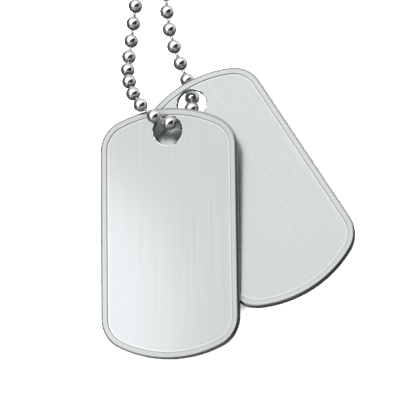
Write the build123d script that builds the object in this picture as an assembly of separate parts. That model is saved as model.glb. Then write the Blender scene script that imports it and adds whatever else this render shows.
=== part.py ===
from build123d import *
import os
from collections import namedtuple
from math import atan2, cos, degrees, hypot, pi, radians, sin, sqrt

# Pair of identification tags threaded on one closed ball chain, lying flat as a necklace is laid down.
# Millimetres, +Z up from the floor, +Y along the necklace from the tags towards the far end of the loop.
# Places are worked out from the middle of the front tag. The whole is centred over the origin at the end.

# Stamped steel tag: blank with two straight sides, a flat arc at each end and a tangent arc at each corner
TAG_WIDTH = 28.6
TAG_LENGTH = 51.2
TAG_THICKNESS = 1.6
TAG_END_RADIUS = 23.9
TAG_CORNER_RADIUS = 6.5
TAG_EDGE_ROUNDING = 0.3

# Panel sunk into the upper face, which leaves the rim standing round it
RIM_WIDTH = 1.35
PANEL_DEPTH = 0.2
PANEL_WALL_TAPER = 30

# Hole for the chain near one end of the tag
HOLE_DIAMETER = 6.1
HOLE_FROM_END = 4.65
HOLE_CHAMFER = 0.1

# How each tag rests: middle of its upper face over the floor plan, turn to the left,
# and the rise of its face towards the hole and towards its right side, per millimetre
TagRest = namedtuple("TagRest", "x y turn rise_to_hole rise_to_right")
FRONT_TAG = TagRest(x=0.0, y=0.0, turn=0.0, rise_to_hole=0.155, rise_to_right=0.035)
REAR_TAG = TagRest(x=15.1, y=10.2, turn=32.3, rise_to_hole=0.063, rise_to_right=0.0)

# Ball chain: hollow balls, each with one connecting pin whose knob is caught inside the next ball
BALL_DIAMETER = 3.0
BALL_WALL = 0.2
BALL_OPENING = 1.2
PIN_DIAMETER = 0.7
PIN_KNOB = 1.5
PIN_KNOB_FROM_CENTRE = 0.4
PITCH = 4.13
BALL_COUNT = 148

# Balls that are threaded through the tags, from the left strand over the front tag's rim, down through
# its hole, between the tags, through the rear tag's hole, under its rim and along the right strand
Ball = namedtuple("Ball", "x y z")
THREADED_BALLS = (
    Ball(x=-9.50, y=51.70, z=1.50),
    Ball(x=-9.80, y=47.60, z=1.65),
    Ball(x=-10.05, y=43.50, z=1.95),
    Ball(x=-10.15, y=39.45, z=2.95),
    Ball(x=-9.85, y=35.80, z=4.85),
    Ball(x=-8.95, y=32.35, z=6.95),
    Ball(x=-7.55, y=28.95, z=8.85),
    Ball(x=-5.50, y=25.80, z=10.50),
    Ball(x=-2.50, y=23.00, z=11.15),
    Ball(x=0.35, y=22.05, z=9.35),
    Ball(x=2.35, y=23.70, z=5.95),
    Ball(x=3.80, y=26.90, z=3.80),
    Ball(x=3.35, y=30.25, z=1.50),
    Ball(x=2.20, y=34.20, z=1.50),
    Ball(x=0.65, y=38.05, z=1.50),
    Ball(x=-0.80, y=41.90, z=1.50),
    Ball(x=-1.90, y=45.85, z=1.50),
    Ball(x=-2.55, y=49.95, z=1.50),
)

# Rest of the loop on the floor: the strands run side by side as a neck, flare apart and join in a bow
NECK_AXIS_X = -6.2
NECK_HALF_WIDTH = 3.1
NECK_END_Y = 56.0
FLARE_ANGLE = 60

# Sleeve connector, which holds the two end balls of the chain
CLASP_BALL_SPACING = 4.4
CLASP_WALL = 0.3
CLASP_PLAY = 0.2
CLASP_OPENING = 1.8

BALL_RADIUS = BALL_DIAMETER / 2
BALL_MID_WALL = BALL_RADIUS - BALL_WALL / 2
PIN_LENGTH = PITCH - BALL_MID_WALL - PIN_KNOB_FROM_CENTRE
CLASP_RADIUS = BALL_RADIUS + CLASP_PLAY + CLASP_WALL


def tag_outline(inset):
    """Outline of the tag, moved inwards by inset, as a face on the XY plane."""
    side_x = TAG_WIDTH / 2 - inset
    corner_radius = TAG_CORNER_RADIUS - inset
    end_radius = TAG_END_RADIUS - inset
    corner_x = TAG_WIDTH / 2 - TAG_CORNER_RADIUS
    end_y = TAG_LENGTH / 2 - TAG_END_RADIUS
    corner_y = end_y + sqrt((TAG_END_RADIUS - TAG_CORNER_RADIUS) ** 2 - corner_x**2)
    corner_sweep = degrees(atan2(corner_y - end_y, corner_x))
    with BuildSketch() as sketch:
        with BuildLine():
            Line((side_x, -corner_y), (side_x, corner_y))
            CenterArc((corner_x, corner_y), corner_radius, 0, corner_sweep)
            CenterArc((0, end_y), end_radius, corner_sweep, 180 - 2 * corner_sweep)
            CenterArc((-corner_x, corner_y), corner_radius, 180 - corner_sweep, corner_sweep)
            Line((-side_x, corner_y), (-side_x, -corner_y))
            CenterArc((-corner_x, -corner_y), corner_radius, 180, corner_sweep)
            CenterArc((0, -end_y), end_radius, 180 + corner_sweep, 180 - 2 * corner_sweep)
            CenterArc((corner_x, -corner_y), corner_radius, 360 - corner_sweep, corner_sweep)
        make_face()
    return sketch.sketch


def make_tag():
    """Tag with its upper face on the XY plane and its hole towards +Y."""
    blank = extrude(tag_outline(0), amount=-TAG_THICKNESS)
    blank = fillet(blank.faces().sort_by(Axis.Z)[0].edges(), TAG_EDGE_ROUNDING)
    blank = fillet(blank.faces().sort_by(Axis.Z)[-1].edges(), TAG_EDGE_ROUNDING)
    panel = extrude(tag_outline(RIM_WIDTH), amount=-PANEL_DEPTH, taper=PANEL_WALL_TAPER)
    hole_y = TAG_LENGTH / 2 - HOLE_FROM_END
    hole = Pos(0, hole_y, -TAG_THICKNESS / 2) * Cylinder(HOLE_DIAMETER / 2, 2 * TAG_THICKNESS)
    tag = blank - panel - hole
    hole_edges = tag.edges().filter_by(GeomType.CIRCLE).filter_by(lambda edge: edge.is_closed)
    return chamfer(hole_edges, HOLE_CHAMFER)


def lay_tag(tag, rest):
    """Tag tilted and turned as it rests, with its lowest edge on the floor."""
    tilt = Plane(
        origin=(0, 0, 0),
        x_dir=(1, 0, rest.rise_to_right),
        z_dir=(-rest.rise_to_right, -rest.rise_to_hole, 1),
    )
    laid = Pos(rest.x, rest.y, 0) * Rot(0, 0, rest.turn) * tilt.location * tag
    return Pos(0, 0, -laid.bounding_box().min.Z) * laid


def flare_radius(hidden_length):
    """Radius of the flares that makes the hidden path as long as the rest of the chain."""
    flare = radians(FLARE_ANGLE)
    bow_sweep = flare + pi / 2
    length_at_zero = NECK_HALF_WIDTH / cos(flare) * bow_sweep
    length_per_radius = flare + (1 - cos(flare)) / cos(flare) * bow_sweep
    return (hidden_length / 2 - length_at_zero) / length_per_radius


def hidden_path(left_end, right_end, length):
    """Path on the floor from the left strand's last ball round the loop to the right strand's last ball."""
    left_neck = (NECK_AXIS_X - NECK_HALF_WIDTH, NECK_END_Y)
    right_neck = (NECK_AXIS_X + NECK_HALF_WIDTH, NECK_END_Y)
    left_run = hypot(left_neck[0] - left_end.x, left_neck[1] - left_end.y)
    right_run = hypot(right_neck[0] - right_end.x, right_neck[1] - right_end.y)
    radius = flare_radius(length - left_run - right_run)
    bow_radius = (NECK_HALF_WIDTH + radius * (1 - cos(radians(FLARE_ANGLE)))) / cos(radians(FLARE_ANGLE))
    flare_end_y = NECK_END_Y + radius * sin(radians(FLARE_ANGLE))
    bow_centre = (NECK_AXIS_X, flare_end_y + bow_radius * sin(radians(FLARE_ANGLE)))
    bow_sweep = 180 + 2 * FLARE_ANGLE
    path = Wire(
        [
            Line((left_end.x, left_end.y), left_neck),
            CenterArc((left_neck[0] - radius, NECK_END_Y), radius, 0, FLARE_ANGLE),
            CenterArc(bow_centre, bow_radius, 180 + FLARE_ANGLE, -bow_sweep),
            CenterArc((right_neck[0] + radius, NECK_END_Y), radius, 180 - FLARE_ANGLE, FLARE_ANGLE),
            Line(right_neck, (right_end.x, right_end.y)),
        ]
    )
    return path, bow_centre, bow_radius


def place_on(path, distance, height):
    """Point at a distance along the path, lifted to a height over the floor."""
    point = path.position_at(distance, position_mode=PositionMode.LENGTH)
    return Vector(point.X, point.Y, height)


def ball_centres():
    """Centres of all the balls, from one end of the clasp through the tags to its other end."""
    hidden_balls = BALL_COUNT - len(THREADED_BALLS)
    left_balls = hidden_balls // 2
    right_balls = hidden_balls - left_balls
    length = hidden_balls * PITCH + CLASP_BALL_SPACING
    path, bow_centre, bow_radius = hidden_path(THREADED_BALLS[0], THREADED_BALLS[-1], length)
    left = [place_on(path, number * PITCH, BALL_RADIUS) for number in range(1, left_balls)]
    left.append(place_on(path, left_balls * PITCH, CLASP_RADIUS))
    right = [place_on(path, length - number * PITCH, BALL_RADIUS) for number in range(1, right_balls)]
    right.append(place_on(path, length - right_balls * PITCH, CLASP_RADIUS))
    threaded = [Vector(ball.x, ball.y, ball.z) for ball in THREADED_BALLS]
    return left[::-1] + threaded + right, bow_centre, bow_radius


def make_ball():
    """Hollow ball round the origin, closed towards +Z and open towards -Z."""
    inner_radius = BALL_RADIUS - BALL_WALL
    opening = BALL_OPENING / 2
    outer_lip = -sqrt(BALL_RADIUS**2 - opening**2)
    inner_lip = -sqrt(inner_radius**2 - opening**2)
    with BuildSketch(Plane.XZ) as profile:
        with BuildLine():
            ThreePointArc((opening, outer_lip), (BALL_RADIUS, 0), (0, BALL_RADIUS))
            Line((0, BALL_RADIUS), (0, inner_radius))
            ThreePointArc((0, inner_radius), (inner_radius, 0), (opening, inner_lip))
            Line((opening, inner_lip), (opening, outer_lip))
        make_face()
    return revolve(profile.sketch, Axis.Z)


def make_pin():
    """Connecting pin from the origin along +Z, with a round knob at its far end."""
    pin_radius = PIN_DIAMETER / 2
    knob_radius = PIN_KNOB / 2
    neck = PIN_LENGTH - sqrt(knob_radius**2 - pin_radius**2)
    with BuildSketch(Plane.XZ) as profile:
        with BuildLine():
            Polyline((0, PIN_LENGTH + knob_radius), (0, 0), (pin_radius, 0), (pin_radius, neck))
            ThreePointArc((pin_radius, neck), (knob_radius, PIN_LENGTH), (0, PIN_LENGTH + knob_radius))
        make_face()
    return revolve(profile.sketch, Axis.Z)


def make_chain(centres):
    """Chain as loose solids: each ball opens towards the one before and carries the pin to the next."""
    steps = [after - before for before, after in zip(centres, centres[1:])]
    ball = make_ball()
    pin = make_pin()
    links = []
    for centre, step_in, step_out in zip(centres, steps[:1] + steps, steps + [None]):
        link = Plane(origin=centre, z_dir=step_in).location * ball
        if step_out is not None:
            root = centre + step_out.normalized() * BALL_MID_WALL
            link += Plane(origin=root, z_dir=step_out).location * pin
        links.append(link)
    return links


def make_clasp(first_ball, last_ball):
    """Plain sleeve round the two end balls, closed at both ends apart from the openings for the pins."""
    bore = CLASP_RADIUS - CLASP_WALL
    cavity = CLASP_BALL_SPACING / 2 + BALL_RADIUS + CLASP_PLAY
    half_length = cavity + CLASP_WALL
    opening = CLASP_OPENING / 2
    body = Cylinder(CLASP_RADIUS, 2 * half_length) - Cylinder(bore, 2 * cavity)
    body -= Cylinder(opening, 2 * half_length + CLASP_WALL)
    return Plane(origin=(first_ball + last_ball) * 0.5, z_dir=last_ball - first_ball).location * body


def main():
    """Builds every piece, centres the necklace over the origin and writes one file for each piece."""
    tag = make_tag()
    centres, bow_centre, bow_radius = ball_centres()
    pieces = {
        "front_tag": [lay_tag(tag, FRONT_TAG)],
        "rear_tag": [lay_tag(tag, REAR_TAG)],
        "ball_chain": make_chain(centres),
        "chain_clasp": [make_clasp(centres[-1], centres[0])],
    }
    near_end = pieces["front_tag"][0].bounding_box().min.Y
    far_end = bow_centre[1] + bow_radius + CLASP_RADIUS
    to_origin = Pos(-NECK_AXIS_X, -(near_end + far_end) / 2, 0)
    os.makedirs("parts", exist_ok=True)
    for name, solids in pieces.items():
        placed = [to_origin * solid for solid in solids]
        shape = placed[0] if len(placed) == 1 else Compound(children=placed)
        export_step(shape, f"parts/{name}.step")
    print("chain round", round(BALL_COUNT * PITCH - PITCH + CLASP_BALL_SPACING, 1), "mm")
    print("bow centre y", round(to_origin.position.Y + bow_centre[1], 2), "radius", round(bow_radius, 2))
    print("shift y", round(to_origin.position.Y, 3))


main()
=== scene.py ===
"""Dresses a pair of steel identification tags on a ball chain, in metres, in the CAD frame."""

import logging
from dataclasses import dataclass
from enum import Enum
from math import asin, atan2, cos, pi, radians, sin, sqrt

import bmesh
import bpy
import numpy as np
from mathutils import Matrix, Vector


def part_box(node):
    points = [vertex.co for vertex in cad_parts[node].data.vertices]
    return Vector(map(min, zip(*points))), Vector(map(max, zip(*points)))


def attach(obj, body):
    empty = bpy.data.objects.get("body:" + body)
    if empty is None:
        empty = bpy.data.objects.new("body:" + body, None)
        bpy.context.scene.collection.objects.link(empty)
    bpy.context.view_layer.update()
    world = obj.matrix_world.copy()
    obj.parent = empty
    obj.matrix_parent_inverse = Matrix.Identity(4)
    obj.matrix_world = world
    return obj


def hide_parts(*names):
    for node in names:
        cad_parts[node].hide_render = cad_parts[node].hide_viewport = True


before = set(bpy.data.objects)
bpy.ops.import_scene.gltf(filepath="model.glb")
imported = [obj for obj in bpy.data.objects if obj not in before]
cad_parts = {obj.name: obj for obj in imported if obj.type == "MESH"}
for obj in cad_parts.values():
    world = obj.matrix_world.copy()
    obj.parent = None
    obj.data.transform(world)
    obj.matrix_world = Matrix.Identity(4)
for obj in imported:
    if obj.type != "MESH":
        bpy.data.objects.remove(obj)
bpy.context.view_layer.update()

LOG = logging.getLogger("tags")
MM = 0.001
BODY = "root"
UV_NAME = "along_tag"
# Length on a tag that one unit of its UV map stands for.
UV_SPAN = 100 * MM
# Parts of a unit vector that point within this of straight up or down count as flat.
FLAT = 0.9999
Span = tuple[float, float]
Triple = tuple[float, float, float]


class Slot(Enum):
    """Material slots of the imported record."""

    TAG = "tag_steel"
    CHAIN = "chain_steel"


def linear_colour(hex_code: str) -> tuple[float, float, float, float]:
    """Turns an sRGB hex colour into the linear colour that shaders take.

    Args:
        hex_code: Six hex digits, such as "C8CCCB".

    Returns:
        Linear red, green and blue, and an alpha of 1.
    """
    channels = [int(hex_code[place : place + 2], 16) / 255 for place in (0, 2, 4)]
    linear = [c / 12.92 if c <= 0.04045 else ((c + 0.055) / 1.055) ** 2.4 for c in channels]
    return (linear[0], linear[1], linear[2], 1.0)


def add_node(
    tree: bpy.types.NodeTree,
    kind: str,
    settings: dict[str, object] | None = None,
    inputs: dict[str | int, object] | None = None,
) -> bpy.types.Node:
    """Adds a shader node with its settings, values and links.

    Args:
        tree: Node tree that takes the node.
        kind: Class of the node, such as "ShaderNodeMath".
        settings: Attributes of the node itself.
        inputs: A value or an output socket for each input, by name or number.

    Returns:
        The new node.
    """
    node = tree.nodes.new(kind)
    for name, value in (settings or {}).items():
        setattr(node, name, value)
    for name, value in (inputs or {}).items():
        if isinstance(value, bpy.types.NodeSocket):
            tree.links.new(value, node.inputs[name])
        else:
            node.inputs[name].default_value = value
    return node


def vertices_of(node: bpy.types.Object) -> np.ndarray:
    """Reads a mesh object's vertices.

    Args:
        node: Mesh object to read.

    Returns:
        Rows of x, y and z in metres.
    """
    places = np.empty(3 * len(node.data.vertices))
    node.data.vertices.foreach_get("co", places)
    return places.reshape(-1, 3)


def connected_labels(node: bpy.types.Object) -> np.ndarray:
    """Labels each vertex with the lowest vertex number of the connected patch that it is in.

    Args:
        node: Mesh object whose patches are wanted.

    Returns:
        One label for each vertex.
    """
    ends = np.empty(2 * len(node.data.edges), dtype=np.int64)
    node.data.edges.foreach_get("vertices", ends)
    first, second = ends.reshape(-1, 2).T
    labels = np.arange(len(node.data.vertices))
    while not (labels[first] == labels[second]).all():
        lowest = np.minimum(labels[first], labels[second])
        np.minimum.at(labels, first, lowest)
        np.minimum.at(labels, second, lowest)
        labels = labels[labels]
    return labels


def fitted_sphere(points: np.ndarray) -> tuple[np.ndarray, float, float]:
    """Fits a sphere to points by least squares.

    Args:
        points: Rows of x, y and z.

    Returns:
        The centre, the radius and the largest distance of a point from the sphere.
    """
    middle = points.mean(axis=0)
    local = points - middle
    table = np.column_stack((2 * local, np.ones(len(local))))
    solution = np.linalg.lstsq(table, (local**2).sum(axis=1), rcond=None)[0]
    centre = solution[:3]
    radius = sqrt(max(solution[3] + centre @ centre, 0.0))
    miss = np.abs(np.linalg.norm(local - centre, axis=1) - radius).max()
    return centre + middle, radius, float(miss)


def finish_piece(
    name: str,
    bm: bmesh.types.BMesh,
    materials: tuple[bpy.types.Material, ...],
    nodes: tuple[str, ...],
) -> bpy.types.Object:
    """Makes a finished object of a bmesh, which rides on the body and stands for its CAD nodes.

    Args:
        name: Name of the piece.
        bm: Its mesh in place, in metres. It is freed.
        materials: Finishes of the piece, in the order of its faces' material numbers.
        nodes: CAD nodes that the piece replaces.

    Returns:
        The new object.
    """
    mesh = bpy.data.meshes.new(name)
    bm.to_mesh(mesh)
    bm.free()
    piece = bpy.data.objects.new(name, mesh)
    bpy.context.scene.collection.objects.link(piece)
    for material in materials:
        mesh.materials.append(material)
    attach(piece, BODY)
    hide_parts(*nodes)
    LOG.info("%s: %d faces", name, len(mesh.polygons))
    return piece


@dataclass(frozen=True)
class BrushedStainless:
    """Stainless steel sheet, finely brushed along the tag: a wide soft sheen with faint streaks.

    Real brush lines are about 0.02 mm apart. They are drawn as 0.06 mm grain and 0.3 mm streaks, so
    that they show in a render of the whole tag.
    """

    colour: str = "B1B5B4"
    streak_colour: str = "C2C6C5"
    roughness: float = 0.21
    roughness_spread: float = 0.05
    anisotropy: float = 0.35
    streak_width: float = 0.3 * MM
    streak_length: float = 30 * MM
    grain_width: float = 0.06 * MM
    grain_length: float = 6 * MM
    grain_depth: float = 0.0002 * MM

    def material(self, name: str) -> bpy.types.Material:
        """Makes the finish, which reads the piece's own UV map, laid along the tag.

        Args:
            name: Name of the material.

        Returns:
            The material.
        """
        material = bpy.data.materials.new(name)
        material.use_nodes = True
        tree = material.node_tree
        shader = tree.nodes["Principled BSDF"]
        uv = add_node(tree, "ShaderNodeUVMap", {"uv_map": UV_NAME}).outputs["UV"]
        streaks = self._streaks(tree, uv, self.streak_width, self.streak_length, 4.0)
        grain = self._streaks(tree, uv, self.grain_width, self.grain_length, 3.0)
        colour = add_node(
            tree,
            "ShaderNodeMix",
            {"data_type": "RGBA"},
            {
                "Factor": streaks,
                6: linear_colour(self.colour),
                7: linear_colour(self.streak_colour),
            },
        )
        roughness = add_node(
            tree,
            "ShaderNodeMapRange",
            None,
            {
                "Value": streaks,
                "From Min": 0.25,
                "From Max": 0.75,
                "To Min": self.roughness - self.roughness_spread / 2,
                "To Max": self.roughness + self.roughness_spread / 2,
            },
        )
        bump = add_node(
            tree,
            "ShaderNodeBump",
            None,
            {"Strength": 1.0, "Distance": self.grain_depth, "Height": grain},
        )
        across = add_node(
            tree, "ShaderNodeTangent", {"direction_type": "UV_MAP", "uv_map": UV_NAME}
        )
        shader.inputs["Metallic"].default_value = 1.0
        shader.inputs["Anisotropic"].default_value = self.anisotropy
        tree.links.new(colour.outputs[2], shader.inputs["Base Color"])
        tree.links.new(roughness.outputs["Result"], shader.inputs["Roughness"])
        tree.links.new(bump.outputs["Normal"], shader.inputs["Normal"])
        tree.links.new(across.outputs["Tangent"], shader.inputs["Tangent"])
        return material

    def _streaks(
        self,
        tree: bpy.types.NodeTree,
        uv: bpy.types.NodeSocket,
        width: float,
        length: float,
        detail: float,
    ) -> bpy.types.NodeSocket:
        """Adds noise that is drawn out along the tag.

        Args:
            tree: Node tree of the finish.
            uv: The piece's UV map.
            width: Width of a streak, across the tag.
            length: Length of a streak, along the tag.
            detail: Octaves of finer streaks.

        Returns:
            The noise, from 0 to 1.
        """
        stretched = add_node(
            tree,
            "ShaderNodeMapping",
            None,
            {"Vector": uv, "Scale": (UV_SPAN / width, UV_SPAN / length, 1.0)},
        )
        noise = add_node(
            tree,
            "ShaderNodeTexNoise",
            None,
            {
                "Vector": stretched.outputs["Vector"],
                "Scale": 1.0,
                "Detail": detail,
                "Roughness": 0.6,
            },
        )
        return noise.outputs["Fac"]


@dataclass(frozen=True)
class PolishedSteel:
    """Tumble-polished steel: a near mirror with a very fine haze and shallow ripples."""

    colour: str = "E0E1E0"
    roughness: float = 0.06
    haze_size: float = 0.6 * MM
    haze_spread: float = 0.04
    ripple_size: float = 1.1 * MM
    ripple_depth: float = 0.004 * MM

    def material(self, name: str) -> bpy.types.Material:
        """Makes the finish, which reads object coordinates.

        Args:
            name: Name of the material.

        Returns:
            The material.
        """
        material = bpy.data.materials.new(name)
        material.use_nodes = True
        tree = material.node_tree
        shader = tree.nodes["Principled BSDF"]
        place = add_node(tree, "ShaderNodeTexCoord").outputs["Object"]
        haze = add_node(
            tree,
            "ShaderNodeTexNoise",
            None,
            {"Vector": place, "Scale": 1 / self.haze_size, "Detail": 3.0},
        )
        roughness = add_node(
            tree,
            "ShaderNodeMapRange",
            None,
            {
                "Value": haze.outputs["Fac"],
                "From Min": 0.3,
                "From Max": 0.7,
                "To Min": self.roughness - self.haze_spread / 2,
                "To Max": self.roughness + self.haze_spread / 2,
            },
        )
        ripples = add_node(
            tree,
            "ShaderNodeTexNoise",
            None,
            {"Vector": place, "Scale": 1 / self.ripple_size, "Detail": 1.0},
        )
        bump = add_node(
            tree,
            "ShaderNodeBump",
            None,
            {"Strength": 1.0, "Distance": self.ripple_depth, "Height": ripples.outputs["Fac"]},
        )
        shader.inputs["Base Color"].default_value = linear_colour(self.colour)
        shader.inputs["Metallic"].default_value = 1.0
        tree.links.new(roughness.outputs["Result"], shader.inputs["Roughness"])
        tree.links.new(bump.outputs["Normal"], shader.inputs["Normal"])
        return material


class TagFinish(Enum):
    """Finishes of a tag's faces, by their material number. Groove, edge and wall colours paint shade;
    crest, foot and lip colours paint highlights.
    """

    BRUSHED = 0
    GROOVE = 1
    BURNISHED = 2
    SHEARED = 3
    RIM = 4
    CREST = 5
    LIP = 6
    WALL = 7


@dataclass(frozen=True)
class RimStep:
    """A line round the tag: how far inside its outline and over its upper face, and its finish."""

    inset: float
    height: float
    finish: TagFinish = TagFinish.BRUSHED


@dataclass
class Tag:
    """Stamped steel tag. Its upper face is on the XY plane, its hole towards +Y, until it is laid."""

    name: str
    node: str
    width: float = 28.6 * MM
    length: float = 51.2 * MM
    thickness: float = 1.6 * MM
    end_radius: float = 23.9 * MM
    corner_radius: float = 6.5 * MM
    edge_rounding: float = 0.3 * MM
    edge_reach: float = 0.5 * MM
    edge_steps: int = 6
    # The crest and the foot of the step take colours that paint highlights, the groove one that
    # paints shade.
    rim: tuple[RimStep, ...] = (
        RimStep(0.62 * MM, 0.0, TagFinish.CREST),
        RimStep(1.3 * MM, 0.0, TagFinish.RIM),
        RimStep(1.37 * MM, -0.004 * MM, TagFinish.GROOVE),
        RimStep(1.39 * MM, -0.17 * MM, TagFinish.GROOVE),
        RimStep(1.43 * MM, -0.2 * MM, TagFinish.GROOVE),
        RimStep(1.74 * MM, -0.2 * MM, TagFinish.BURNISHED),
    )
    hole_radius: float = 3.05 * MM
    hole_from_end: float = 4.65 * MM
    lip: float = 0.18 * MM
    # Section of the hole's worn edge, in lips: how far outside its wall and over the panel.
    lip_section: tuple[Span, ...] = ((1.5, 0.12), (1.0, 0.0), (0.25, -0.18), (0.0, -0.45))
    hole_segments: int = 72
    corner_steps: int = 18
    end_steps: int = 36

    def build(self, finishes: dict[TagFinish, bpy.types.Material]) -> bpy.types.Object:
        """Builds the tag and lays it where its CAD node lies.

        Args:
            finishes: Material of each of the tag's finishes.

        Returns:
            The finished piece.
        """
        bm = bmesh.new()
        outline = self._outline(bm)
        top, bottom = self._wall(bm, outline)
        self._step_inwards(bm, bottom, self._rounded_edge())
        self._step_inwards(bm, top, self._rounded_edge() + list(self.rim))
        bm = self._pierced(bm, finishes)
        self._shade(bm)
        bmesh.ops.transform(bm, matrix=self.resting_place(), verts=bm.verts)
        materials = tuple(finishes[finish] for finish in TagFinish)
        return finish_piece(self.name, bm, materials, (self.node,))

    def _outline(self, bm: bmesh.types.BMesh) -> bmesh.types.BMFace:
        """Draws the outline of straight sides and tangent arcs, at the top of the lower rounding.

        Args:
            bm: Empty bmesh.

        Returns:
            The outline as one face that looks down.
        """
        corner_x = self.width / 2 - self.corner_radius
        end_y = self.length / 2 - self.end_radius
        corner_y = end_y + sqrt((self.end_radius - self.corner_radius) ** 2 - corner_x**2)
        corner_sweep = atan2(corner_y - end_y, corner_x)
        height = self.edge_rounding - self.thickness
        tip = bm.verts.new((self.width / 2, -corner_y, height))
        for side in (1, -1):
            tip = bmesh.ops.extrude_vert_indiv(bm, verts=[tip])["verts"][0]
            bmesh.ops.translate(bm, vec=(0, side * 2 * corner_y, 0), verts=[tip])
            for centre, sweep, steps in (
                ((side * corner_x, side * corner_y, height), corner_sweep, self.corner_steps),
                ((0, side * end_y, height), pi - 2 * corner_sweep, self.end_steps),
                ((-side * corner_x, side * corner_y, height), corner_sweep, self.corner_steps),
            ):
                turned = bmesh.ops.spin(
                    bm, geom=[tip], cent=centre, axis=(0, 0, 1), angle=sweep, steps=steps
                )
                last = turned["geom_last"]
                tip = next(item for item in last if isinstance(item, bmesh.types.BMVert))
        bmesh.ops.remove_doubles(bm, verts=bm.verts, dist=self.edge_rounding / 100)
        face = bmesh.ops.contextual_create(bm, geom=bm.edges)["faces"][0]
        face.normal_update()
        if face.normal.z > 0:
            face.normal_flip()
        return face

    def _wall(
        self, bm: bmesh.types.BMesh, outline: bmesh.types.BMFace
    ) -> tuple[bmesh.types.BMFace, bmesh.types.BMFace]:
        """Raises the straight wall between the two rounded edges.

        Args:
            bm: Mesh with the outline face.
            outline: The outline face.

        Returns:
            The upper face and the lower face.
        """
        raised = bmesh.ops.extrude_face_region(bm, geom=[outline], use_keep_orig=True)["geom"]
        top = next(item for item in raised if isinstance(item, bmesh.types.BMFace))
        rise = self.thickness - 2 * self.edge_rounding
        bmesh.ops.translate(bm, vec=(0, 0, rise), verts=top.verts)
        bmesh.ops.recalc_face_normals(bm, faces=bm.faces)
        # The wall's faces take a finish whose dark colour paints shade.
        for face in bm.faces:
            if face not in (top, outline):
                face.material_index = TagFinish.WALL.value
        return top, outline

    def _rounded_edge(self) -> list[RimStep]:
        """Works out the flattened quarter round over the tag's outer edge.

        Returns:
            Its lines, from the end of the wall.
        """
        turns = [radians(90 * step / self.edge_steps) for step in range(1, self.edge_steps + 1)]
        # The rounded edge takes a finish whose darker colour paints shade.
        return [
            RimStep(
                self.edge_reach * (1 - cos(turn)),
                self.edge_rounding * (sin(turn) - 1),
                TagFinish.SHEARED,
            )
            for turn in turns
        ]

    def _step_inwards(
        self, bm: bmesh.types.BMesh, face: bmesh.types.BMFace, lines: list[RimStep]
    ) -> None:
        """Takes a face inwards from line to line, and gives each new ring of faces its finish.

        Args:
            bm: Mesh of the tag.
            face: Face that shrinks to the inside of the last line.
            lines: Lines to step to, from the outside inwards.
        """
        before = RimStep(0.0, -self.edge_rounding)
        for line in lines:
            ring = bmesh.ops.inset_region(
                bm,
                faces=[face],
                thickness=line.inset - before.inset,
                depth=line.height - before.height,
                use_boundary=True,
                use_even_offset=True,
            )
            for new_face in ring["faces"]:
                new_face.material_index = line.finish.value
            before = line

    def _pierced(
        self, bm: bmesh.types.BMesh, finishes: dict[TagFinish, bpy.types.Material]
    ) -> bmesh.types.BMesh:
        """Cuts the chain's hole with a spool whose flared ends round the hole's two edges.

        Args:
            bm: Closed mesh of the tag without its hole. It is freed.
            finishes: Material of each of the tag's finishes.

        Returns:
            A new mesh with the hole.
        """
        panel = self.rim[-1].height
        spool = bmesh.new()
        half = [
            (self.hole_radius + outside * self.lip, panel + over * self.lip)
            for outside, over in self.lip_section
        ]
        mirror = panel - self.thickness
        profile = half + [(radius, mirror - height) for radius, height in reversed(half)]
        points = [spool.verts.new((radius, 0, height)) for radius, height in profile]
        ends = [spool.verts.new((0, 0, profile[0][1])), spool.verts.new((0, 0, profile[-1][1]))]
        points = ends[:1] + points + ends[1:]
        edges = [spool.edges.new(pair) for pair in zip(points, points[1:])]
        bmesh.ops.spin(
            spool,
            geom=points + edges,
            cent=(0, 0, 0),
            axis=(0, 0, 1),
            angle=2 * pi,
            steps=self.hole_segments,
            use_merge=True,
        )
        bmesh.ops.remove_doubles(spool, verts=spool.verts, dist=self.lip / 100)
        bmesh.ops.recalc_face_normals(spool, faces=spool.faces)
        # Sloped faces round the hole take a colour that paints a glint; the hole's wall takes the
        # edge finish, whose colour paints shade.
        for face in spool.faces:
            slopes = 0.05 < abs(face.normal.z) < 0.999
            face.material_index = (TagFinish.LIP if slopes else TagFinish.SHEARED).value
        hole_y = self.length / 2 - self.hole_from_end
        bmesh.ops.translate(spool, vec=(0, hole_y, 0), verts=spool.verts)
        blank, cutter = (self._temporary(part, finishes) for part in (bm, spool))
        cut = blank.modifiers.new("hole", "BOOLEAN")
        cut.operation, cut.solver, cut.object = "DIFFERENCE", "EXACT", cutter
        result = bpy.data.meshes.new_from_object(
            blank.evaluated_get(bpy.context.evaluated_depsgraph_get())
        )
        pierced = bmesh.new()
        pierced.from_mesh(result)
        for mesh in (blank.data, cutter.data, result):
            bpy.data.meshes.remove(mesh)
        return pierced

    def _temporary(
        self, bm: bmesh.types.BMesh, finishes: dict[TagFinish, bpy.types.Material]
    ) -> bpy.types.Object:
        """Makes an object of a bmesh for as long as the cut takes.

        Args:
            bm: Its mesh. It is freed.
            finishes: Material of each finish, so that the cut keeps the faces' material numbers.

        Returns:
            The object, which goes when its mesh is removed.
        """
        mesh = bpy.data.meshes.new("temporary")
        bm.to_mesh(mesh)
        bm.free()
        for finish in TagFinish:
            mesh.materials.append(finishes[finish])
        temporary = bpy.data.objects.new("temporary", mesh)
        bpy.context.scene.collection.objects.link(temporary)
        return temporary

    def _shade(self, bm: bmesh.types.BMesh) -> None:
        """Smooths the rounded parts, keeps flat ones flat, and lays the UV map along the tag.

        Args:
            bm: Mesh of the tag before it is laid.
        """
        uv = bm.loops.layers.uv.new(UV_NAME)
        for face in bm.faces:
            face.smooth = abs(face.normal.z) < FLAT
            for loop in face.loops:
                loop[uv].uv = (0.5 + loop.vert.co.x / UV_SPAN, 0.5 + loop.vert.co.y / UV_SPAN)

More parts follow.
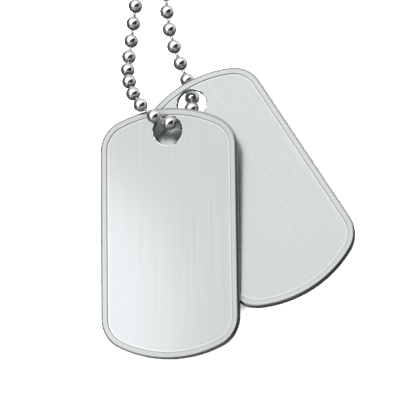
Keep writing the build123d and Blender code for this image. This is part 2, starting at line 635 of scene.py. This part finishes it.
    def resting_place(self) -> Matrix:
        """Reads from the CAD node how the tag lies.

        Returns:
            Its place, at its upper face's middle: right, towards its hole, and out of that face.
        """
        cad_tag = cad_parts[self.node]
        points = vertices_of(cad_tag)
        upward = [polygon for polygon in cad_tag.data.polygons if polygon.normal.z > 0.5]
        normal = max(upward, key=lambda polygon: polygon.area).normal.copy()
        panel = [polygon for polygon in upward if polygon.normal.dot(normal) > 0.99999]
        right = self._narrowest_way(points, normal)
        ahead = normal.cross(right)
        area = sum(polygon.area for polygon in panel)
        panel_middle = sum((polygon.center * polygon.area for polygon in panel), Vector()) / area
        if panel_middle.dot(ahead) > self._middle(points, ahead):
            right, ahead = -right, -ahead
        height = float((points @ np.array(normal)).max())
        middle = (
            right * self._middle(points, right)
            + ahead * self._middle(points, ahead)
            + normal * height
        )
        return Matrix.Translation(middle) @ Matrix((right, ahead, normal)).transposed().to_4x4()

    def _middle(self, points: np.ndarray, way: Vector) -> float:
        """Finds the middle of the points' reach along a direction.

        Args:
            points: Rows of x, y and z.
            way: Unit vector.

        Returns:
            The middle's distance from the origin along it.
        """
        reach = points @ np.array(way)
        return float(reach.max() + reach.min()) / 2

    def _narrowest_way(self, points: np.ndarray, normal: Vector) -> Vector:
        """Finds the direction in which the tag is narrowest, which is straight across it.

        Args:
            points: Vertices of the CAD tag.
            normal: Normal of its upper face.

        Returns:
            Unit vector across the tag.
        """
        first = normal.orthogonal().normalized()
        second = normal.cross(first)
        turn, window, tries = 0.0, pi / 2, 41
        while window > 1e-6:
            turns = np.linspace(turn - window, turn + window, tries)
            ways = np.outer(np.cos(turns), first) + np.outer(np.sin(turns), second)
            turn = float(turns[np.ptp(points @ ways.T, axis=0).argmin()])
            window /= tries / 4
        return first * cos(turn) + second * sin(turn)


@dataclass
class BallChain:
    """Closed chain of hollow steel balls, each joined to the next by a pin that goes into both."""

    node: str = "ball_chain"
    ball_radius: float = 1.5 * MM
    radius_play: float = 0.02 * MM
    mouth_radius: float = 0.5 * MM
    mouth_depth: float = 0.15 * MM
    lip: float = 0.08 * MM
    pin_radius: float = 0.35 * MM
    segments: int = 20
    arc_steps: int = 12
    pin_segments: int = 10

    def centres(self) -> list[Vector]:
        """Reads the balls' centres from the CAD chain, from one end at the clasp to the other.

        Returns:
            The centres of all the balls.
        """
        cad_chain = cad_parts[self.node]
        points = vertices_of(cad_chain)
        labels = connected_labels(cad_chain)
        order = np.argsort(labels, kind="stable")
        starts = np.flatnonzero(np.diff(labels[order])) + 1
        spheres = [fitted_sphere(points[patch]) for patch in np.split(order, starts)]
        loose = [
            Vector(centre)
            for centre, radius, miss in spheres
            if abs(radius - self.ball_radius) < self.radius_play and miss < self.radius_play
        ]
        low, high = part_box("chain_clasp")
        clasp = (Vector(low) + Vector(high)) / 2
        chain = [loose.pop(min(range(len(loose)), key=lambda i: (loose[i] - clasp).length))]
        while loose:
            tip = chain[-1]
            chain.append(loose.pop(min(range(len(loose)), key=lambda i: (loose[i] - tip).length)))
        return chain

    def _ball_template(self) -> bpy.types.Mesh:
        """Spins one ball round Z from its profile, with a sunk mouth for the pin at each pole.

        Returns:
            The ball, round the origin.
        """
        mouth_angle = asin((self.mouth_radius + self.lip) / self.ball_radius)
        arc = [
            mouth_angle + (pi - 2 * mouth_angle) * step / self.arc_steps
            for step in range(self.arc_steps + 1)
        ]
        edge_height = sqrt(self.ball_radius**2 - self.mouth_radius**2) - self.lip * 0.35
        floor_height = edge_height - self.mouth_depth
        mouth = [
            (0.0, floor_height),
            (self.mouth_radius - self.lip, floor_height),
            (self.mouth_radius - self.lip * 0.5, edge_height - self.lip),
            (self.mouth_radius, edge_height),
        ]
        profile = mouth + [
            (self.ball_radius * sin(turn), self.ball_radius * cos(turn)) for turn in arc
        ]
        profile += [(reach, -height) for reach, height in reversed(mouth)]
        bm = bmesh.new()
        points = [bm.verts.new((reach, 0, height)) for reach, height in profile]
        edges = [bm.edges.new(pair) for pair in zip(points, points[1:])]
        bmesh.ops.spin(
            bm,
            geom=points + edges,
            cent=(0, 0, 0),
            axis=(0, 0, 1),
            angle=2 * pi,
            steps=self.segments,
            use_merge=True,
        )
        bmesh.ops.remove_doubles(bm, verts=bm.verts, dist=self.lip / 100)
        bmesh.ops.recalc_face_normals(bm, faces=bm.faces)
        return self._as_mesh(bm, "ball")

    def _pin_template(self) -> bpy.types.Mesh:
        """Makes a pin of unit length up Z.

        Returns:
            The pin, which starts at the origin.
        """
        bm = bmesh.new()
        bmesh.ops.create_cone(
            bm,
            cap_ends=True,
            segments=self.pin_segments,
            radius1=self.pin_radius,
            radius2=self.pin_radius,
            depth=1.0,
            matrix=Matrix.Translation((0, 0, 0.5)),
        )
        return self._as_mesh(bm, "pin")

    def _as_mesh(self, bm: bmesh.types.BMesh, name: str) -> bpy.types.Mesh:
        """Keeps a bmesh as a mesh to copy from.

        Args:
            bm: The bmesh. It is freed.
            name: Name of the mesh.

        Returns:
            The mesh.
        """
        mesh = bpy.data.meshes.new(name)
        bm.to_mesh(mesh)
        bm.free()
        return mesh

    def build(self, centres: list[Vector], material: bpy.types.Material) -> bpy.types.Object:
        """Strings the balls and pins along the centres.

        Args:
            centres: Centres of the balls, in order.
            material: Finish of the chain.

        Returns:
            The finished piece.
        """
        ball, pin = self._ball_template(), self._pin_template()
        bm = bmesh.new()
        for number, centre in enumerate(centres):
            before = centres[max(number - 1, 0)]
            after = centres[min(number + 1, len(centres) - 1)]
            turn = (after - before).to_track_quat("Z", "Y").to_matrix().to_4x4()
            self._put(bm, ball, Matrix.Translation(centre) @ turn)
        for centre, after in zip(centres, centres[1:]):
            step = after - centre
            inside = step.normalized() * (self.ball_radius - 2 * self.mouth_depth)
            turn = step.to_track_quat("Z", "Y").to_matrix().to_4x4()
            stretch = Matrix.Diagonal((1, 1, step.length - 2 * inside.length, 1))
            self._put(bm, pin, Matrix.Translation(centre + inside) @ turn @ stretch)
        for template in (ball, pin):
            bpy.data.meshes.remove(template)
        for face in bm.faces:
            face.smooth = True
        bmesh.ops.recalc_face_normals(bm, faces=bm.faces)
        return finish_piece("steel_ball_chain", bm, (material,), (self.node,))

    def _put(self, bm: bmesh.types.BMesh, template: bpy.types.Mesh, place: Matrix) -> None:
        """Adds a copy of a template at a place.

        Args:
            bm: Mesh that takes the copy.
            template: Mesh to copy.
            place: Where the copy goes.
        """
        known = len(bm.verts)
        bm.from_mesh(template)
        bm.verts.ensure_lookup_table()
        bmesh.ops.transform(bm, matrix=place, verts=bm.verts[known:])


@dataclass
class Clasp:
    """Sleeve connector round the chain's two end balls, with rolled-in ends for the pins."""

    node: str = "chain_clasp"
    radius: float = 2.0 * MM
    wall: float = 0.3 * MM
    half_length: float = 4.2 * MM
    mouth_radius: float = 0.9 * MM
    shoulder: float = 0.45 * MM
    fillet: float = 0.1 * MM
    segments: int = 40
    shoulder_steps: int = 5

    def build(self, first: Vector, last: Vector, material: bpy.types.Material) -> bpy.types.Object:
        """Spins the sleeve round the line through the chain's two end balls.

        Args:
            first: Centre of the chain's first ball.
            last: Centre of its last ball.
            material: Finish of the clasp.

        Returns:
            The finished piece.
        """
        bm = bmesh.new()
        half = self._half_profile()
        profile = half + [(reach, -height) for reach, height in reversed(half)]
        points = [bm.verts.new((reach, 0, height)) for reach, height in profile]
        edges = [bm.edges.new((a, b)) for a, b in zip(points, points[1:] + points[:1])]
        bmesh.ops.spin(
            bm,
            geom=points + edges,
            cent=(0, 0, 0),
            axis=(0, 0, 1),
            angle=2 * pi,
            steps=self.segments,
            use_merge=True,
        )
        bmesh.ops.recalc_face_normals(bm, faces=bm.faces)
        for face in bm.faces:
            face.smooth = True
        middle = Matrix.Translation((first + last) / 2)
        turn = (last - first).to_track_quat("Z", "Y").to_matrix().to_4x4()
        bmesh.ops.transform(bm, matrix=middle @ turn, verts=bm.verts)
        return finish_piece("sleeve_clasp", bm, (material,), (self.node,))

    def _half_profile(self) -> list[tuple[float, float]]:
        """Works out the upper half's profile, from the bore over the mouth to the outside.

        Returns:
            Distance from the axis and height of each point.
        """
        inner = self.radius - self.wall
        end = self.half_length
        steps = range(self.shoulder_steps + 1)
        turns = [radians(90 * step / self.shoulder_steps) for step in steps]
        flat = self.radius - self.shoulder
        rounded = [
            (flat + self.shoulder * sin(turn), end - self.shoulder * (1 - cos(turn)))
            for turn in turns
        ]
        return [
            (inner, 0.4 * end),
            (inner, end - self.wall - self.fillet),
            (inner - 1.5 * self.fillet, end - self.wall),
            (self.mouth_radius + 0.5 * self.fillet, end - self.wall),
            (self.mouth_radius, end - self.wall * 0.7),
            (self.mouth_radius, end - self.wall * 0.3),
            (self.mouth_radius + self.fillet, end),
            *rounded,
            (self.radius, end - 2 * self.shoulder),
            (self.radius, 0.3 * end),
        ]


@dataclass
class Studio:
    """White sweep, painted surroundings, a softbox by the tags, and the product shot's camera."""

    lens: float = 153.0
    sensor: float = 36.0
    azimuth: float = 33.174
    elevation: float = 70.211
    roll: float = 33.498
    camera_place: Triple = (76.4 * MM, -206.12 * MM, 329.82 * MM)
    floor_span: float = 6.0
    floor_gain: float = 5.0
    # Levels of the painted surroundings.
    overhead_near: float = 1.22
    overhead_far: float = 1.5
    behind_camera: float = 0.04
    beside_camera: float = 0.4
    low_dark: float = 0.125
    low_light: float = 0.85
    below: float = 0.02
    # Level directions, towards the camera's side and to the far right.
    camera_side: Triple = (0.7071, -0.7071, 0)
    far_side: Triple = (0.5, 0.866, 0)
    # Where one level passes into the next. Each pair is read along an axis, from -1 to 1.
    overhead_along_y: Span = (-0.3, 0.5)
    front_along_y: Span = (-0.75, -0.5)
    dark_to_camera: Span = (0.13, 0.22)
    right_to_camera: Span = (-0.1, 0.2)
    low_to_far: Span = (0.0, 0.9)
    camera_rise: Span = (0.2, 0.4)
    left_rise: Span = (0.35, 0.7)
    right_rise: Span = (-0.05, 0.1)
    rise_from_below: Span = (-0.9, -0.45)
    softbox_place: Triple = (-48.5 * MM, -134 * MM, 109 * MM)
    softbox_aim: Triple = (-4.3 * MM, -122 * MM, 4 * MM)
    softbox_length: float = 75 * MM
    softbox_width: float = 48 * MM
    softbox_radiance: float = 0.63
    softbox_colour: str = "F4F6FF"

    def build(self) -> None:
        """Sets up floor, light and camera."""
        self._floor()
        self._surroundings()
        self._softbox()
        self._camera()

    def _floor(self) -> None:
        """Lays the white sweep, lit so strongly that only the deepest shadows show on it."""
        paper = bpy.data.materials.new("overlit_white_sweep")
        paper.use_nodes = True
        tree = paper.node_tree
        gain = (self.floor_gain, self.floor_gain, self.floor_gain, 1.0)
        diffuse = add_node(tree, "ShaderNodeBsdfDiffuse", None, {"Color": gain})
        tree.links.new(diffuse.outputs["BSDF"], tree.nodes["Material Output"].inputs["Surface"])
        bm = bmesh.new()
        bmesh.ops.create_grid(bm, x_segments=1, y_segments=1, size=self.floor_span / 2)
        mesh = bpy.data.meshes.new("sweep")
        bm.to_mesh(mesh)
        bm.free()
        mesh.materials.append(paper)
        sweep = bpy.data.objects.new("sweep", mesh)
        bpy.context.scene.collection.objects.link(sweep)
        for ray in ("diffuse", "glossy", "transmission", "volume_scatter", "shadow"):
            setattr(sweep, f"visible_{ray}", False)

    def _ramp(
        self,
        tree: bpy.types.NodeTree,
        value: bpy.types.NodeSocket,
        span: Span,
        ends: Span = (0.0, 1.0),
    ) -> bpy.types.NodeSocket:
        """Turns a value smoothly from one end to the other over a span.

        Args:
            tree: Node tree that takes the nodes.
            value: Value to read.
            span: Values between which the result changes.
            ends: Result before and after the span.

        Returns:
            The result.
        """
        settings = {"interpolation_type": "SMOOTHSTEP"}
        inputs = {
            "Value": value,
            "From Min": span[0],
            "From Max": span[1],
            "To Min": ends[0],
            "To Max": ends[1],
        }
        return add_node(tree, "ShaderNodeMapRange", settings, inputs).outputs["Result"]

    def _blend(
        self,
        tree: bpy.types.NodeTree,
        factor: bpy.types.NodeSocket,
        first: bpy.types.NodeSocket | float,
        second: bpy.types.NodeSocket | float,
    ) -> bpy.types.NodeSocket:
        """Mixes two levels by a factor.

        Args:
            tree: Node tree that takes the node.
            factor: Share of the second level.
            first: Level at factor 0.
            second: Level at factor 1.

        Returns:
            The mixed level.
        """
        node = add_node(
            tree, "ShaderNodeMix", {"data_type": "FLOAT"}, {"Factor": factor, 2: first, 3: second}
        )
        return node.outputs[0]

    def _part_along(
        self, tree: bpy.types.NodeTree, way: bpy.types.NodeSocket, axis: Triple
    ) -> bpy.types.NodeSocket:
        """Measures how far a direction points along an axis.

        Args:
            tree: Node tree that takes the node.
            way: Direction, as a unit vector.
            axis: Unit vector to measure it along.

        Returns:
            The measure, from -1 to 1.
        """
        settings = {"operation": "DOT_PRODUCT"}
        node = add_node(tree, "ShaderNodeVectorMath", settings, {0: way, 1: axis})
        return node.outputs["Value"]

    def _surroundings(self) -> None:
        """Paints the studio: light overhead, dark by the camera, grey and white low down."""
        world = bpy.data.worlds.new("studio")
        bpy.context.scene.world = world
        world.use_nodes = True
        tree = world.node_tree
        way = add_node(tree, "ShaderNodeTexCoord").outputs["Generated"]
        to_camera = self._part_along(tree, way, self.camera_side)
        to_far = self._part_along(tree, way, self.far_side)
        parts = add_node(tree, "ShaderNodeSeparateXYZ", None, {"Vector": way}).outputs
        ahead, height = parts["Y"], parts["Z"]

        levels = (self.overhead_near, self.overhead_far)
        overhead = self._ramp(tree, ahead, self.overhead_along_y, levels)
        levels = (self.beside_camera, self.behind_camera)
        viewer = self._ramp(tree, height, self.camera_rise, levels)
        not_in_front = self._ramp(tree, ahead, self.front_along_y)
        viewer = self._blend(tree, not_in_front, self.beside_camera, viewer)
        dark = self._ramp(tree, to_camera, self.dark_to_camera)
        high = self._blend(tree, dark, overhead, viewer)

        low = self._ramp(tree, to_far, self.low_to_far, (self.low_dark, self.low_light))
        right = self._ramp(tree, to_camera, self.right_to_camera)
        left_rise = self._ramp(tree, height, self.left_rise)
        right_rise = self._ramp(tree, height, self.right_rise)
        rise = self._blend(tree, right, left_rise, right_rise)
        around = self._blend(tree, rise, low, high)
        upwards = self._ramp(tree, height, self.rise_from_below)
        strength = self._blend(tree, upwards, self.below, around)

        background = tree.nodes["Background"]
        background.inputs["Color"].default_value = (1, 1, 1, 1)
        tree.links.new(strength, background.inputs["Strength"])
        white = {"Color": (1, 1, 1, 1), "Strength": 1.0}
        seen = add_node(tree, "ShaderNodeBackground", None, white)
        choose = add_node(
            tree,
            "ShaderNodeMixShader",
            None,
            {
                0: add_node(tree, "ShaderNodeLightPath").outputs["Is Camera Ray"],
                1: background.outputs["Background"],
                2: seen.outputs["Background"],
            },
        )
        tree.links.new(choose.outputs["Shader"], tree.nodes["World Output"].inputs["Surface"])

    def _softbox(self) -> None:
        """Hangs a small softbox over the left of the tags, which glows in the front tag."""
        data = bpy.data.lights.new("softbox", "AREA")
        data.shape, data.size, data.size_y = "ELLIPSE", self.softbox_length, self.softbox_width
        data.color = linear_colour(self.softbox_colour)[:3]
        data.energy = self.softbox_radiance * pi * pi * self.softbox_length * self.softbox_width / 4
        softbox = bpy.data.objects.new("softbox", data)
        place, aim = Vector(self.softbox_place), Vector(self.softbox_aim)
        turn = (aim - place).to_track_quat("-Z", "Y").to_matrix().to_4x4()
        softbox.matrix_world = Matrix.Translation(place) @ turn
        softbox.visible_camera = False
        bpy.context.scene.collection.objects.link(softbox)

    def _camera(self) -> None:
        """Puts the camera where the photograph was taken from, turned about its line of sight."""
        data = bpy.data.cameras.new("camera")
        data.lens, data.sensor_width = self.lens, self.sensor
        data.clip_start, data.clip_end = 0.01, 20
        camera = bpy.data.objects.new("camera", data)
        bpy.context.scene.collection.objects.link(camera)
        turn = (
            Matrix.Rotation(radians(self.azimuth), 4, "Z")
            @ Matrix.Rotation(radians(90 - self.elevation), 4, "X")
            @ Matrix.Rotation(radians(-self.roll), 4, "Z")
        )
        camera.matrix_world = Matrix.Translation(self.camera_place) @ turn
        bpy.context.scene.camera = camera
        bpy.context.scene.view_settings.view_transform = "Standard"


def tag_finishes() -> dict[TagFinish, bpy.types.Material]:
    """Makes the finishes of a tag, which is one sheet of stainless steel worked in several ways; the
    colours of some finishes paint shade and highlights.

    Returns:
        Material of each finish.
    """
    return {
        # Sheet brushed lengthwise: a soft silver sheen, drawn out across it, with faint streaks.
        TagFinish.BRUSHED: BrushedStainless().material("brushed_stainless_steel"),
        # Wall of the stamped step, matt, with a darker colour that paints the shade in the groove: a
        # thin grey line.
        TagFinish.GROOVE: BrushedStainless("A6A8A7", "ACAEAD", 0.5).material(
            "painted_shade_groove_steel"
        ),
        # Flat of the rim, dulled by handling: an even pale grey with no sheen of its own.
        TagFinish.RIM: BrushedStainless("BABEBD", "C3C7C6", 0.36).material("dull_rim_steel"),
        # Outer part of the rim, slightly smoother than the flat, with a lighter colour that paints
        # the highlight along the edge.
        TagFinish.CREST: BrushedStainless("C0C4C3", "C8CCCB", 0.34).material("painted_highlight_crest_steel"),
        # Edge of the hole, smooth, with a light colour that paints a glint round the hole.
        TagFinish.LIP: BrushedStainless("ECEEEC", "F0F2F0", 0.15).material("painted_glint_lip_steel"),
        # Foot of the step, smooth, with a light colour that paints a highlight: a bright line inside
        # the grey one.
        TagFinish.BURNISHED: BrushedStainless("C8CAC8", "CCCECC", 0.22).material("painted_highlight_foot_steel"),
        # Rounded edge of the blank and wall of the hole, smooth, with a darker colour that paints
        # shade: it draws the outline.
        TagFinish.SHEARED: BrushedStainless("989A98", "9C9E9C", 0.2).material("painted_shade_edge_steel"),
        # Cut wall of the blank, with a dark colour that paints shade: the dark band along the near
        # ends.
        TagFinish.WALL: BrushedStainless("808280", "848684", 0.3).material("painted_shade_wall_steel"),
    }


def main() -> None:
    """Builds the necklace and its studio."""
    logging.basicConfig(level=logging.INFO, format="%(name)s: %(message)s")
    finishes = tag_finishes()
    for tag in (Tag("front_steel_tag", "front_tag"), Tag("rear_steel_tag", "rear_tag")):
        tag.build(finishes)
    # Drawn steel balls, tumbled with media: a near mirror with slightly soft reflections.
    polished = PolishedSteel().material("tumble_polished_steel")
    chain = BallChain()
    centres = chain.centres()
    LOG.info("balls: %d", len(centres))
    chain.build(centres, polished)
    Clasp().build(centres[0], centres[-1], polished)
    Studio().build()


if __name__ == "__main__":
    main()
